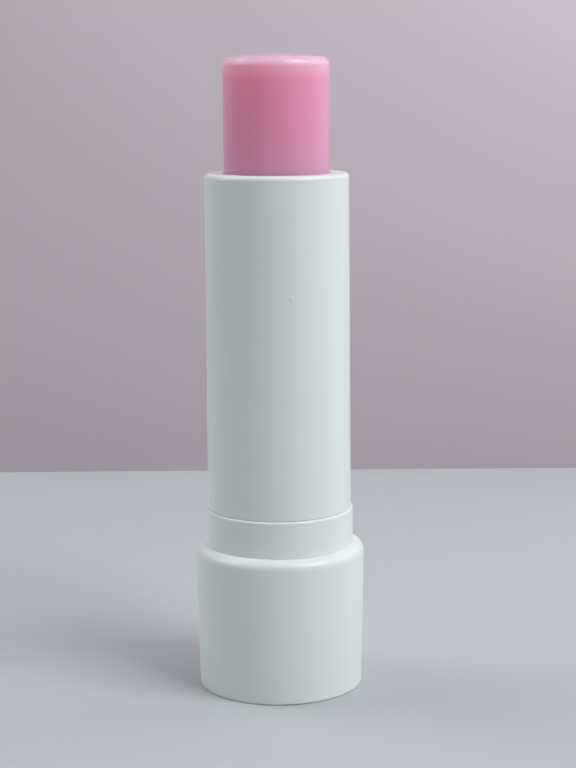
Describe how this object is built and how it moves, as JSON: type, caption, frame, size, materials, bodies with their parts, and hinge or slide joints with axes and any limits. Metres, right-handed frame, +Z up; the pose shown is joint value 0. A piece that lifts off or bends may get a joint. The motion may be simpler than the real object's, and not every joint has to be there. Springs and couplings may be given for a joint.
{
  "type": "lip balm stick",
  "caption": "Turn-up lip balm stick: wide drafted base, collar for a cap, slim round tube and a raised balm bullet driven by lugs in a helical cam sleeve.",
  "frame": {"origin": "on the stick's axis at the foot ring, where it stands", "axes": "+Z up along the axis, from the foot to the balm's tip; the two lugs lie along X"},
  "size_m": [0.0198, 0.0198, 0.0735],
  "materials": {
    "white_shell": "smooth opaque white moulding, soft gloss",
    "natural_plastic": "natural moulding, satin",
    "sleeve_plastic": "white moulding, satin",
    "ring_rubber": "soft rubber, matt",
    "balm_wax": "waxy translucent pink, smooth"
  },
  "bodies": {
    "base": {"base_shell": "white_shell", "collar": "white_shell", "inner_body": "natural_plastic", "drag_ring": "ring_rubber"},
    "tube": {"tube": "white_shell", "spiral_sleeve": "sleeve_plastic"},
    "carrier": {"cup": "natural_plastic", "balm": "balm_wax"}
  },
  "joints": [
    {"name": "tube_turn", "type": "hinge", "parent": "base", "child": "tube", "pos_m": [0, 0, 0.02135], "axis": [0, 0, -1], "range_deg": [-221.2, 167.5]},
    {"name": "carrier_slide", "type": "slide", "parent": "base", "child": "carrier", "axis": [0, 0, 1], "range_m": [-0.01475, 0.01117]}
  ],
  "couplings": [
    {"joint": "carrier_slide", "follows": "tube_turn", "m_per_rad": 0.0038197}
  ]
}
